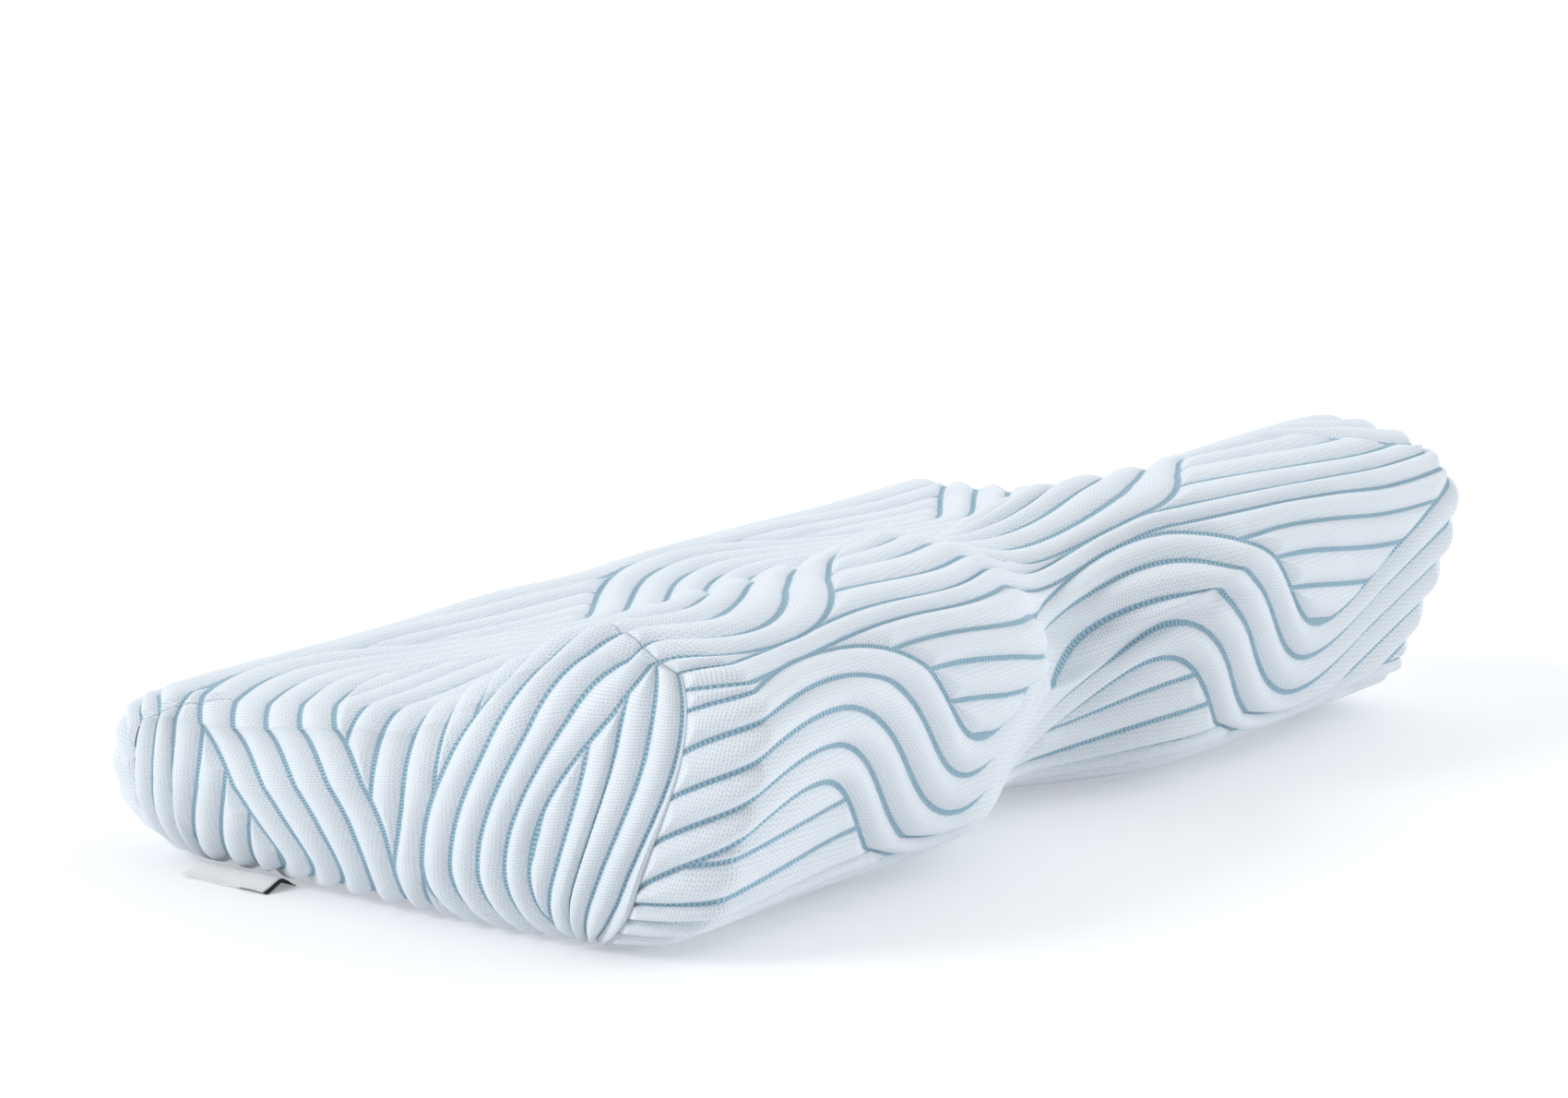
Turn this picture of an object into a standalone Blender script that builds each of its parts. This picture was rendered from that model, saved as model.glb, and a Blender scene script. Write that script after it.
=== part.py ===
"""Contour pillow: a foam block with a high neck roll, in a tight quilted knit cover, and its sewn-in label.

Frame: +X along the long side, the tall front wall with the waist faces -Y, +Z up. The origin is at the middle
of the base. All lengths are in metres.
"""
import math

import bmesh
import bpy
import numpy as np
from mathutils import Vector
from mathutils.geometry import delaunay_2d_cdt

# Outer sizes of the puffed pillow
LENGTH = 0.540
DEPTH = 0.308
NECK_ROLL = 0.124  # height of the front crest at both wings
NECK_DIP = 0.109  # height of the front crest at the middle
TROUGH = 0.080  # lowest height of the top, behind the neck roll
TROUGH_BOWL = 0.010  # how much deeper the trough is at the middle
HEAD_ROLL = 0.070  # height of the low crest at the back
WING_RUN = 0.066  # distance from the middle to where the wings have their full height

# Where the crests and the trough run, as shares of half the depth
NECK_ROLL_AT = -0.565
TROUGH_AT = 0.05
HEAD_ROLL_AT = 0.625

# Waist of the front wall: its depth and its half length at four heights, as (depth, half length)
WAIST_FOOT = (0.032, 0.094)
WAIST_LIP = (0.026, 0.104)  # from here up to the fold that crosses it
WAIST_FOLD = (0.043, 0.076)  # over the fold
WAIST_TOP = (0.033, 0.138)
WAIST_LIP_LEVEL = 0.4  # as a share of the height
WAIST_SHARPNESS = 1.3
WAIST_FADE_AT = 0.3  # share of half the depth behind which the waist no longer moves the cloth
FOLD_LEVEL = 0.60  # share of the height at which the fold crosses the middle of the waist
FOLD_CLIMB = 1.1  # how much that share grows for each metre towards the far wing
FOLD_BAND = 0.17  # share of the height over which the cloth turns in under the fold
WALL_LEAN = 0.024  # how far the front wall's foot is set back
WALL_LEAN_TO = 0.75  # share of the height above which the wall stands upright
END_BULGE = 0.006

# Edge roundings: across the edge in metres, up the wall as a share of the local height
ROUND_END_TOP = 0.020
ROUND_END_FOOT = 0.025
ROUND_FRONT_TOP = 0.053
ROUND_FRONT_FOOT = 0.064
ROUND_BACK_TOP = 0.042
ROUND_BACK_FOOT = 0.055
RISE_FRONT_TOP = 0.236
RISE_FRONT_FOOT = 0.193
RISE_BACK_TOP = 0.50
RISE_BACK_FOOT = 0.48
RISE_LIMIT = 0.98  # both roundings of one wall together
FOOT_TURN = math.radians(80)  # how far the foot's rounding runs before the base seam
SEAM_TURN = math.radians(13)  # how far the corner seams lie round the corners towards the short ends

# Lengths of the unfolded cloth from the top's edge to the base seam
FRONT_DROP = 0.160
BACK_DROP = 0.094
END_DROP = 0.112
EDGE_SHRINK = 0.74  # cloth length over an edge's half rounding, as a share of the rounding's run

# Where the cloth of the walls begins to turn the corners. It lies evenly up to EVEN_P and EVEN_Q.
EVEN_P = 0.200
EVEN_Q = 0.060
SIDE_STOP_P = 0.2386
END_STOP_FRONT_Q = 0.1063
END_STOP_BACK_Q = 0.1150
STOP_BLEND = 0.25  # share of a wall's cloth over which these places come in

# Shares of a wall's cloth at which its top rounding ends and its foot rounding begins
FRONT_STOPS = (0.19, 0.61)
END_STOPS = (0.17, 0.72)
BACK_STOPS = (0.32, 0.34)

# Quilting
CHANNEL = 0.0142
PUFF = 0.0034
SEAM_DEPTH = 0.0042
BUNDLE_GROOVES = 5
BUNDLE_STEP = 0.132  # between the middles of two bundles
BUNDLE_SWING = 0.030
BUNDLE_SKEW = 0.08  # share of a second wave, which makes the swing uneven
WAVE = 0.250
WAVE_CREST_AT = -0.212
FRONT_BUNDLE_AT = -0.205  # middle of the bundle that runs along the front wall, in cloth coordinates
ROWS = range(-1, 5)
FILL_SWAY = 0.006

# Darts: the four corner seams run on over the top, and a fold crosses the waist
DART_LENGTH = 0.056
DART_START_TURN = math.radians(3)  # away from the short end's edge
DART_END_TURN = math.radians(16)
FOLD_FROM = -0.050
FOLD_TO = 0.098
FOLD_DOWN = 0.325  # share of the front wall's cloth above the fold
FOLD_RISE = 0.85  # how much that share shrinks for each metre towards the far wing
DART_POINTS = 8
FOLD_POINTS = 16

# Mesh steps
FINE_STEP = 0.001
LONG_STEP = 0.0112
EDGE_STEP = 0.0070  # round the edges of the short ends
EDGE_REACH = 0.045
SEAM_MARGIN = 0.0045
CREST_CLEAR = 0.0062  # from a field's lines to the bundle beside them
GROOVE_CLEAR = 0.0045
SHORTEST_LINE = 0.012
SHORTEST_STEP = 0.004
SEAM_LEVELS = (1.0, 0.86, 0.72, 0.5, 0.25, 0.0, -0.25, -0.5, -0.7, -0.82, -0.92, -1.0)
BASE_INSET = (0.965, 0.91)
WELD = 0.00002

# Label
LABEL_WIDTH = 0.041
LABEL_Y = 0.081
LABEL_OUT_X = -0.2735
LABEL_IN_X = -0.2520
LABEL_THICK = 0.0009
LABEL_CURL = 0.0022

HALF_LENGTH = LENGTH / 2
HALF_DEPTH = DEPTH / 2


def clear_scene():
    for obj in list(bpy.data.objects):
        bpy.data.objects.remove(obj, do_unlink=True)


def make_material(name, colour, roughness):
    material = bpy.data.materials.new(name)
    material.use_nodes = True
    shader = material.node_tree.nodes["Principled BSDF"]
    shader.inputs["Base Color"].default_value = (*colour, 1.0)
    shader.inputs["Roughness"].default_value = roughness
    shader.inputs["Metallic"].default_value = 0.0
    return material


def ease(t):
    """Smooth step from 0 to 1."""
    t = np.clip(t, 0.0, 1.0)
    return t * t * (3.0 - 2.0 * t)


def blend(low, high, share):
    return low + (high - low) * share


# Shape of the filled body

def edge_rises(v):
    """Shares of the height that the top and the foot roundings take, from front (v = -1) to back (v = 1)."""
    backward = ease((v + 1) / 2)
    top = blend(RISE_FRONT_TOP, RISE_BACK_TOP, backward)
    foot = np.minimum(blend(RISE_FRONT_FOOT, RISE_BACK_FOOT, backward), RISE_LIMIT - top)
    return top, foot


def pillow_height(x, y_share):
    """Height of the top over a place in the plan."""
    wing = ease(np.abs(x) / WING_RUN)
    neck = blend(NECK_DIP, NECK_ROLL, wing)
    trough = TROUGH - TROUGH_BOWL * (1 - wing)
    behind = ease((y_share - TROUGH_AT) / (HEAD_ROLL_AT - TROUGH_AT))
    before = ease((TROUGH_AT - y_share) / (TROUGH_AT - NECK_ROLL_AT))
    return np.where(y_share > TROUGH_AT, blend(trough, HEAD_ROLL, behind), blend(trough, neck, before))


def waist_depth(x, level):
    """How far the waist draws the front wall in, for a share of the height."""
    fold_at = FOLD_LEVEL + FOLD_CLIMB * np.maximum(x, 0)
    above = ease((level - fold_at) / FOLD_BAND + 0.5)
    up = ease((level - fold_at) / (1 - fold_at))
    depth, run = (
        blend(blend(foot, lip, ease(level / WAIST_LIP_LEVEL)), blend(fold, top, up), above)
        for foot, lip, fold, top in zip(WAIST_FOOT, WAIST_LIP, WAIST_FOLD, WAIST_TOP)
    )
    return depth * np.where(np.abs(x) < run, 0.5 + 0.5 * np.cos(np.pi * x / run), 0.0) ** WAIST_SHARPNESS


def turned_corner(ex, ey):
    """Moves the seam, where both are alike, round the corner without changing the corner's shape."""
    reach = np.hypot(ex, ey)
    aside = np.arctan2(ey, ex)
    aside = aside - SEAM_TURN * np.sin(2 * aside)
    return np.where(ex > 0, reach * np.cos(aside), 0.0), np.where(ey > 0, reach * np.sin(aside), 0.0)


def body_surface(u, v, w):
    """Points of the puffed skin. The cube coordinates u, v and w run from -1 to 1 along X, Y and Z, and one of
    them is at its limit. A wall's lower half carries the whole foot rounding, down to the base seam."""
    upward = ease((w + 1) / 2)
    round_x = blend(ROUND_END_FOOT, ROUND_END_TOP, upward)
    round_front = blend(ROUND_FRONT_FOOT, ROUND_FRONT_TOP, upward)
    round_back = blend(ROUND_BACK_FOOT, ROUND_BACK_TOP, upward)
    round_y = np.where(v < 0, round_front, round_back)
    rise_top, rise_foot = edge_rises(v)
    rise = np.where(w > 0, rise_top, rise_foot)
    ex = np.maximum(0, (np.abs(u) * HALF_LENGTH - HALF_LENGTH + round_x) / round_x)
    ey = np.maximum(0, (np.abs(v) * HALF_DEPTH - HALF_DEPTH + round_y) / round_y)
    ez = np.maximum(0, (np.abs(w) * 0.5 - 0.5 + rise) / rise)
    long_way = np.sqrt(ex ** 2 + ey ** 2 + ez ** 2)
    square = np.maximum(np.maximum(ex, ey), ez)
    shrink = np.where(long_way > 1e-9, square / np.maximum(long_way, 1e-9), 1.0)
    level_way = np.maximum(np.hypot(ex, ey), 1e-9)
    turn = ez * FOOT_TURN
    foot = w < 0
    ex, ey = (np.where(foot, e / level_way * np.cos(turn), e * shrink) for e in (ex, ey))
    ez = np.where(foot, np.sin(turn), ez * shrink)
    ex, ey = turned_corner(ex, ey)
    x = np.sign(u) * np.where(ex > 0, HALF_LENGTH - round_x + round_x * ex, np.abs(u) * HALF_LENGTH)
    y = np.sign(v) * np.where(ey > 0, HALF_DEPTH - round_y + round_y * ey, np.abs(v) * HALF_DEPTH)
    level = np.where(ez > 0, np.sign(w) * (0.5 - rise + rise * ez), w * 0.5) + 0.5
    y_share = y / HALF_DEPTH
    height = pillow_height(x, y_share)
    y = y - WALL_LEAN * (ease(level / WALL_LEAN_TO) - 1) * ease(-y_share)
    y = y + waist_depth(x, level) * ease((WAIST_FADE_AT - y_share) / (1 + WAIST_FADE_AT))
    x = x + np.sign(u) * END_BULGE * (1 - y_share ** 2) * np.abs(u) ** 3
    return np.stack([x, y, level * height], axis=-1)


# The cloth laid flat: p runs along X and q along Y, with the walls unfolded outwards from the top

TOP_P = HALF_LENGTH - ROUND_END_TOP * (1 - EDGE_SHRINK)
TOP_FRONT_Q = -(HALF_DEPTH - ROUND_FRONT_TOP * (1 - EDGE_SHRINK))
TOP_BACK_Q = HALF_DEPTH - ROUND_BACK_TOP * (1 - EDGE_SHRINK)
CLOTH_P = TOP_P + END_DROP
CLOTH_FRONT_Q = TOP_FRONT_Q - FRONT_DROP
CLOTH_BACK_Q = TOP_BACK_Q + BACK_DROP


def wall_level(share, v, on_end):
    """Cube coordinate w for a share of the way down a wall's cloth."""
    backward = ease((v + 1) / 2)
    first, second = (
        np.where(on_end, blend(e, b, backward), np.where(v < 0, f, b))
        for f, e, b in zip(FRONT_STOPS, END_STOPS, BACK_STOPS)
    )
    rise_top, rise_foot = edge_rises(v)
    w_top, w_foot = 1 - 2 * rise_top, -(1 - 2 * rise_foot)
    over_top = 1 - (1 - w_top) * share / first
    straight = w_top + (w_foot - w_top) * (share - first) / (second - first)
    under = w_foot - (1 + w_foot) * (share - second) / (1 - second)
    return np.where(share < first, over_top, np.where(share < second, straight, under))


def eased_corner(distance, even_to, stop, flat, edge, reach):
    """Cube coordinate for a distance from the cloth's middle. On a wall the cloth is shifted a little along it,
    from even_to on, so that it is less stretched where it turns the corner."""
    distance = np.minimum(distance, edge)
    along = even_to + (distance - even_to) * (flat - even_to) / (stop - even_to)
    round_corner = flat + (distance - stop) * (reach - flat) / (edge - stop)
    return np.where(distance < even_to, distance, np.where(distance < stop, along, round_corner)) / reach


def cube_from_cloth(p, q):
    down_end = np.maximum(0, np.abs(p) - TOP_P) / END_DROP
    down_front = np.maximum(0, TOP_FRONT_Q - q) / FRONT_DROP
    down_back = np.maximum(0, q - TOP_BACK_Q) / BACK_DROP
    down_side = np.maximum(down_front, down_back)
    end_flat = HALF_LENGTH - ROUND_END_TOP
    end_stop = blend(end_flat, SIDE_STOP_P, ease(down_side / STOP_BLEND))
    u = np.sign(p) * eased_corner(np.abs(p), EVEN_P, end_stop, end_flat, TOP_P, HALF_LENGTH)
    front_flat, back_flat = HALF_DEPTH - ROUND_FRONT_TOP, HALF_DEPTH - ROUND_BACK_TOP
    front_stop = blend(front_flat, END_STOP_FRONT_Q, ease(down_end / STOP_BLEND))
    back_stop = blend(back_flat, END_STOP_BACK_Q, ease(down_end / STOP_BLEND))
    front_v = -eased_corner(-q, EVEN_Q, front_stop, front_flat, -TOP_FRONT_Q, HALF_DEPTH)
    back_v = eased_corner(q, EVEN_Q, back_stop, back_flat, TOP_BACK_Q, HALF_DEPTH)
    v = np.where(q < 0, front_v, back_v)
    down = np.minimum(1, np.maximum(down_end, down_side))
    w = np.where(down > 0, wall_level(down, v, down_end > down_side), 1.0)
    return u, v, w


def point_from_cloth(p, q):
    return body_surface(*cube_from_cloth(p, q))


def on_cloth(p, q, margin):
    """True where the flat cloth has material, further than margin from its cut edges."""
    lengthwise = (np.abs(p) < CLOTH_P - margin) & (q > TOP_FRONT_Q + margin) & (q < TOP_BACK_Q - margin)
    inside_q = (q > CLOTH_FRONT_Q + margin) & (q < CLOTH_BACK_Q - margin)
    return lengthwise | ((np.abs(p) < TOP_P - margin) & inside_q)


# Quilting lines on the flat cloth, as arrays of (p, q)

def places_along():
    return np.arange(-CLOTH_P - 0.05, CLOTH_P + 0.05, FINE_STEP)


def shared_stops():
    """Which of the places along a line are mesh points: the same ones on neighbouring lines, so that the mesh
    between them is even, and closer together round the edges of the short ends."""
    p = places_along()
    from_edge = np.minimum(np.abs(np.abs(p) - TOP_P), np.abs(np.abs(p) - CLOTH_P))
    step = blend(EDGE_STEP, LONG_STEP, ease(from_edge / EDGE_REACH))
    run = np.floor(np.cumsum(FINE_STEP / step))
    return np.diff(run, prepend=run[0]) > 0


def bundle_line(row, offset):
    """A line beside the middle of one waving bundle of channels."""
    p = places_along()
    phase = 2 * np.pi * (p - WAVE_CREST_AT) / WAVE + np.pi * row
    q = FRONT_BUNDLE_AT + row * BUNDLE_STEP + BUNDLE_SWING * (np.cos(phase) + BUNDLE_SKEW * np.sin(2 * phase))
    turning = -np.sin(phase) + 2 * BUNDLE_SKEW * np.cos(2 * phase)
    slope = BUNDLE_SWING * 2 * np.pi / WAVE * turning
    stretch = np.hypot(1.0, slope)
    return np.column_stack([p - offset * slope / stretch, q + offset / stretch])


def fill_line(row, place):
    """A nearly straight line in the leaf-shaped fields between two bundles. Place is a share of the field."""
    half_band = CHANNEL * (BUNDLE_GROOVES - 1) / 2
    widest = BUNDLE_STEP + 2 * BUNDLE_SWING - 2 * half_band
    low, high = bundle_line(row, half_band), bundle_line(row + 1, -half_band)
    p = places_along()
    middle = FRONT_BUNDLE_AT + (row + 0.5) * BUNDLE_STEP
    sway = FILL_SWAY * np.sin(2 * np.pi * (p - WAVE_CREST_AT) / WAVE)
    q = middle + (place - 0.5) * widest + sway
    below = q - np.interp(p, low[:, 0], low[:, 1])
    above = np.interp(p, high[:, 0], high[:, 1]) - q
    return np.column_stack([p, q]), np.minimum(below, above)


def fill_count():
    """An odd number, so that where a field closes its middle channel runs on."""
    widest = BUNDLE_STEP + 2 * BUNDLE_SWING - CHANNEL * (BUNDLE_GROOVES - 1)
    return 2 * round((widest / CHANNEL - 1) / 2) + 1


def pieces_of(line, kept):
    """The mesh points of the stretches of a line that are kept, without the very short ones."""
    stops = np.flatnonzero(shared_stops())
    least = round(SHORTEST_STEP / FINE_STEP)
    edges = np.flatnonzero(np.diff(np.concatenate([[False], kept, [False]]).astype(int)))
    for start, end in zip(edges[::2], edges[1::2]):
        if (end - start) * FINE_STEP > SHORTEST_LINE:
            inner = stops[(stops > start + least) & (stops < end - least)]
            yield line[np.concatenate([[start], inner, [end - 1]])]


def quilt_lines(crests):
    """Grooves of the quilting, or the crests half a channel away from them."""
    half = 0.5 if crests else 0.0
    for row in ROWS:
        for groove in range(BUNDLE_GROOVES - (1 if crests else 0)):
            offset = (groove + half - (BUNDLE_GROOVES - 1) / 2) * CHANNEL
            line = bundle_line(row, offset)
            yield from pieces_of(line, on_cloth(line[:, 0], line[:, 1], SEAM_MARGIN))
    count = fill_count()
    clear = CREST_CLEAR if crests else GROOVE_CLEAR
    for row in ROWS[:-1]:
        for step in range(0 if crests else 1, count):
            line, beside = fill_line(row, (step + half) / count)
            kept = on_cloth(line[:, 0], line[:, 1], SEAM_MARGIN) & (beside > clear)
            yield from pieces_of(line, kept)


def corner_darts():
    """Ends of the four corner seams, which run on a little way over the top."""
    for side in (-1, 1):
        for corner_q, inward in ((TOP_FRONT_Q, 1), (TOP_BACK_Q, -1)):
            along = np.linspace(SEAM_MARGIN, DART_LENGTH, DART_POINTS)
            turn = blend(DART_START_TURN, DART_END_TURN, along / DART_LENGTH)
            p = side * (TOP_P - along * np.sin(turn))
            yield np.column_stack([p, corner_q + inward * along * np.cos(turn)])


def seam_q(w, v):
    """Cloth length down the front or back wall at cube coordinate w."""
    shares = np.linspace(0, 1, 201)
    return np.interp(-w, -wall_level(shares, np.full(201, v), False), shares)


def seam_p(w, v):
    shares = np.linspace(0, 1, 201)
    return np.interp(-w, -wall_level(shares, np.full(201, v), True), shares)


def cut_edge():
    """The flat cloth's outline, anticlockwise from the front wall's left foot."""
    base_p = np.linspace(-TOP_P, TOP_P, 41)
    base_q = np.linspace(TOP_FRONT_Q, TOP_BACK_Q, 27)
    levels = np.array(SEAM_LEVELS)
    front = TOP_FRONT_Q - FRONT_DROP * seam_q(levels, -1.0)
    back = TOP_BACK_Q + BACK_DROP * seam_q(levels, 1.0)
    front_end = TOP_P + END_DROP * seam_p(levels, -1.0)
    back_end = TOP_P + END_DROP * seam_p(levels, 1.0)
    outline = [(p, CLOTH_FRONT_Q) for p in base_p]
    outline += [(TOP_P, q) for q in front[::-1][1:]]
    outline += [(p, TOP_FRONT_Q) for p in front_end[1:]]
    outline += [(CLOTH_P, q) for q in base_q[1:]]
    outline += [(p, TOP_BACK_Q) for p in back_end[::-1][1:]]
    outline += [(TOP_P, q) for q in back[1:]]
    outline += [(p, CLOTH_BACK_Q) for p in base_p[::-1][1:]]
    outline += [(-TOP_P, q) for q in back[::-1][1:]]
    outline += [(-p, TOP_BACK_Q) for p in back_end[1:]]
    outline += [(-CLOTH_P, q) for q in base_q[::-1][1:]]
    outline += [(-p, TOP_FRONT_Q) for p in front_end[::-1][1:]]
    outline += [(-TOP_P, q) for q in front[1:-1]]
    return outline


def waist_fold():
    """The fold across the waist, which climbs towards the far wing."""
    p = np.linspace(FOLD_FROM, FOLD_TO, FOLD_POINTS)
    q = TOP_FRONT_Q - FRONT_DROP * (FOLD_DOWN - FOLD_RISE * np.maximum(p, 0))
    return np.column_stack([p, q])


def flat_quilt():
    """Triangles of the flat cloth, with the depth of each point under the puffed skin."""
    points = [Vector(place) for place in cut_edge()]
    depths = [SEAM_DEPTH] * len(points)
    outline = list(range(len(points)))
    edges = []
    seams = list(corner_darts()) + [waist_fold()]
    lines = [(line, SEAM_DEPTH) for line in seams]
    lines += [(line, PUFF) for line in quilt_lines(crests=False)]
    lines += [(line, 0.0) for line in quilt_lines(crests=True)]
    for line, depth in lines:
        first = len(points)
        points += [Vector(place) for place in line]
        depths += [depth] * len(line)
        edges += [(first + i, first + i + 1) for i in range(len(line) - 1)]
    places, _, triangles, sources, _, _ = delaunay_2d_cdt(points, edges, [outline], 1, 1e-5, True)
    exact = [points[source[0]] if source else place for place, source in zip(places, sources)]
    deep = [max((depths[i] for i in source), default=PUFF) for source in sources]
    places = np.array([tuple(place) for place in exact])
    triangles = np.array([tuple(triangle) for triangle in triangles])
    middles = places[triangles].mean(axis=1)
    return places, triangles[on_cloth(middles[:, 0], middles[:, 1], 0.0)], np.array(deep)


def close_base(mesh, sunk):
    """Turns the open edge at the base seam inwards to a flat base panel at the height of the ground."""
    rim = [edge for edge in mesh.edges if edge.is_boundary]
    new = bmesh.ops.extrude_edge_only(mesh, edges=rim)["geom"]
    for point in new:
        if isinstance(point, bmesh.types.BMVert):
            point.co = (point.co.x * BASE_INSET[0], point.co.y * BASE_INSET[1], 0.0)
            point[sunk] = 0.0
    inner = [edge for edge in new if isinstance(edge, bmesh.types.BMEdge) and edge.is_boundary]
    bmesh.ops.holes_fill(mesh, edges=inner, sides=0)
    bmesh.ops.recalc_face_normals(mesh, faces=mesh.faces)


def make_body(material):
    places, triangles, depths = flat_quilt()
    mesh = bmesh.new()
    sunk = mesh.verts.layers.float.new("sunk")
    points = []
    for place, depth in zip(point_from_cloth(places[:, 0], places[:, 1]), depths):
        point = mesh.verts.new(place)
        point[sunk] = depth
        points.append(point)
    for triangle in triangles:
        mesh.faces.new([points[i] for i in triangle])
    bmesh.ops.remove_doubles(mesh, verts=mesh.verts, dist=WELD)
    close_base(mesh, sunk)
    mesh.normal_update()
    for point in mesh.verts:
        point.co -= point.normal * point[sunk]
        point.co.z = max(point.co.z, 0.0)
    data = bpy.data.meshes.new("pillow_body")
    mesh.to_mesh(data)
    mesh.free()
    data.shade_smooth()
    body = bpy.data.objects.new("pillow_body", data)
    body.data.materials.append(material)
    bpy.context.collection.objects.link(body)
    return body


def make_label(material):
    """A folded tab that lies on the surface under the end's rounding, with its outer edge curled up a little."""
    steps = 6
    outline = []
    for i in range(steps + 1):
        share = i / steps
        outline.append((blend(LABEL_IN_X, LABEL_OUT_X, share), LABEL_CURL * share ** 3))
    points = []
    for y in (LABEL_Y - LABEL_WIDTH / 2, LABEL_Y + LABEL_WIDTH / 2):
        points += [(x, y, z) for x, z in outline]
        points += [(x, y, z + LABEL_THICK) for x, z in outline]
    row = steps + 1
    faces = []
    for i in range(steps):
        low, high, far_low, far_high = i, row + i, 2 * row + i, 3 * row + i
        faces.append((low, high, high + 1, low + 1))
        faces.append((far_low, far_low + 1, far_high + 1, far_high))
        faces.append((low, low + 1, far_low + 1, far_low))
        faces.append((high, far_high, far_high + 1, high + 1))
    faces.append((0, 2 * row, 3 * row, row))
    faces.append((steps, row + steps, 3 * row + steps, 2 * row + steps))
    mesh = bpy.data.meshes.new("label")
    mesh.from_pydata(points, [], faces)
    mesh.update()
    label = bpy.data.objects.new("label", mesh)
    label.data.materials.append(material)
    bpy.context.collection.objects.link(label)
    return label


def main():
    clear_scene()
    make_body(make_material("quilted_knit", (0.80, 0.86, 0.93), 0.9))
    make_label(make_material("label_tape", (0.92, 0.92, 0.93), 0.7))


main()
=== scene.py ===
"""Looks of the contour pillow: its quilted knit cover, plain base panel and label, on a pale floor.

The cover is one formula on flat cloth coordinates, p along X and q along Y, with the walls unfolded
outwards from the top. numpy works it out for the meshes, and shader nodes work out the same one for the
colours.
"""
import math

import bpy
import numpy as np
from mathutils import Matrix, Vector


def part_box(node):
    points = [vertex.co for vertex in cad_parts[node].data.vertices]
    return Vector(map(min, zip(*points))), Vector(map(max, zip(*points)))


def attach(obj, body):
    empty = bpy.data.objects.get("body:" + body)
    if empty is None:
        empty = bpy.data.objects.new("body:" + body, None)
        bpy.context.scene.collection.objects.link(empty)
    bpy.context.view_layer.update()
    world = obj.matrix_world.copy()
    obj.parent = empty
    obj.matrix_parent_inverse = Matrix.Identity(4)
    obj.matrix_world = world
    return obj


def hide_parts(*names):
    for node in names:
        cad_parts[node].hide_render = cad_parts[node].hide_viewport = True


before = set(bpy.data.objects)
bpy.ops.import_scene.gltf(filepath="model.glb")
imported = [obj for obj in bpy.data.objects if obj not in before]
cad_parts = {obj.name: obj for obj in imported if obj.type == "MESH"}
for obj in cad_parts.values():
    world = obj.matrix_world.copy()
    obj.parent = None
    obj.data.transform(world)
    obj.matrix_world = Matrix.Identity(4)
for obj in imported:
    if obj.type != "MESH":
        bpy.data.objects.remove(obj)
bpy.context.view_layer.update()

# Outer sizes of the puffed pillow, in metres as in the solids
LENGTH = 0.540
DEPTH = 0.308
NECK_ROLL = 0.124
NECK_DIP = 0.109
TROUGH = 0.080
TROUGH_BOWL = 0.010
HEAD_ROLL = 0.070
WING_RUN = 0.066
NECK_ROLL_AT = -0.565
TROUGH_AT = 0.05
HEAD_ROLL_AT = 0.625
WAIST_FOOT = (0.032, 0.094)  # depth of the waist and its half length
WAIST_LIP = (0.026, 0.104)
WAIST_LIP_LEVEL = 0.4
WAIST_FOLD = (0.043, 0.076)
WAIST_TOP = (0.033, 0.138)
WAIST_SHARPNESS = 1.3
WAIST_FADE_AT = 0.3
FOLD_LEVEL = 0.60
FOLD_CLIMB = 1.1
FOLD_BAND = 0.17
WALL_LEAN = 0.024
WALL_LEAN_TO = 0.75
END_BULGE = 0.006
ROUND_END_TOP = 0.020
ROUND_END_FOOT = 0.025
ROUND_FRONT_TOP = 0.053
ROUND_FRONT_FOOT = 0.064
ROUND_BACK_TOP = 0.042
ROUND_BACK_FOOT = 0.055
RISE_FRONT_TOP = 0.236
RISE_FRONT_FOOT = 0.193
RISE_BACK_TOP = 0.50
RISE_BACK_FOOT = 0.48
RISE_LIMIT = 0.98
FOOT_TURN = math.radians(80)
SEAM_TURN = math.radians(13)
FRONT_DROP = 0.160
BACK_DROP = 0.094
END_DROP = 0.112
EDGE_SHRINK = 0.74
EVEN_P = 0.200
EVEN_Q = 0.060
SIDE_STOP_P = 0.2386
END_STOP_FRONT_Q = 0.1063
END_STOP_BACK_Q = 0.1150
STOP_BLEND = 0.25
FRONT_STOPS = (0.19, 0.61)
END_STOPS = (0.17, 0.72)
BACK_STOPS = (0.32, 0.34)
HALF_LENGTH = LENGTH / 2
HALF_DEPTH = DEPTH / 2

# Quilting, as in the solids
CHANNEL = 0.0142
PUFF = 0.0034
BUNDLE_GROOVES = 5
BUNDLE_STEP = 0.132
BUNDLE_SWING = 0.030
BUNDLE_SKEW = 0.08
WAVE = 0.250
WAVE_CREST_AT = -0.212
FRONT_BUNDLE_AT = -0.205
FILL_SWAY = 0.006
DART_LENGTH = 0.056
DART_START_TURN = math.radians(3)
DART_END_TURN = math.radians(16)
FOLD_FROM = -0.050
FOLD_TO = 0.098
FOLD_DOWN = 0.325
FOLD_RISE = 0.85

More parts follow.
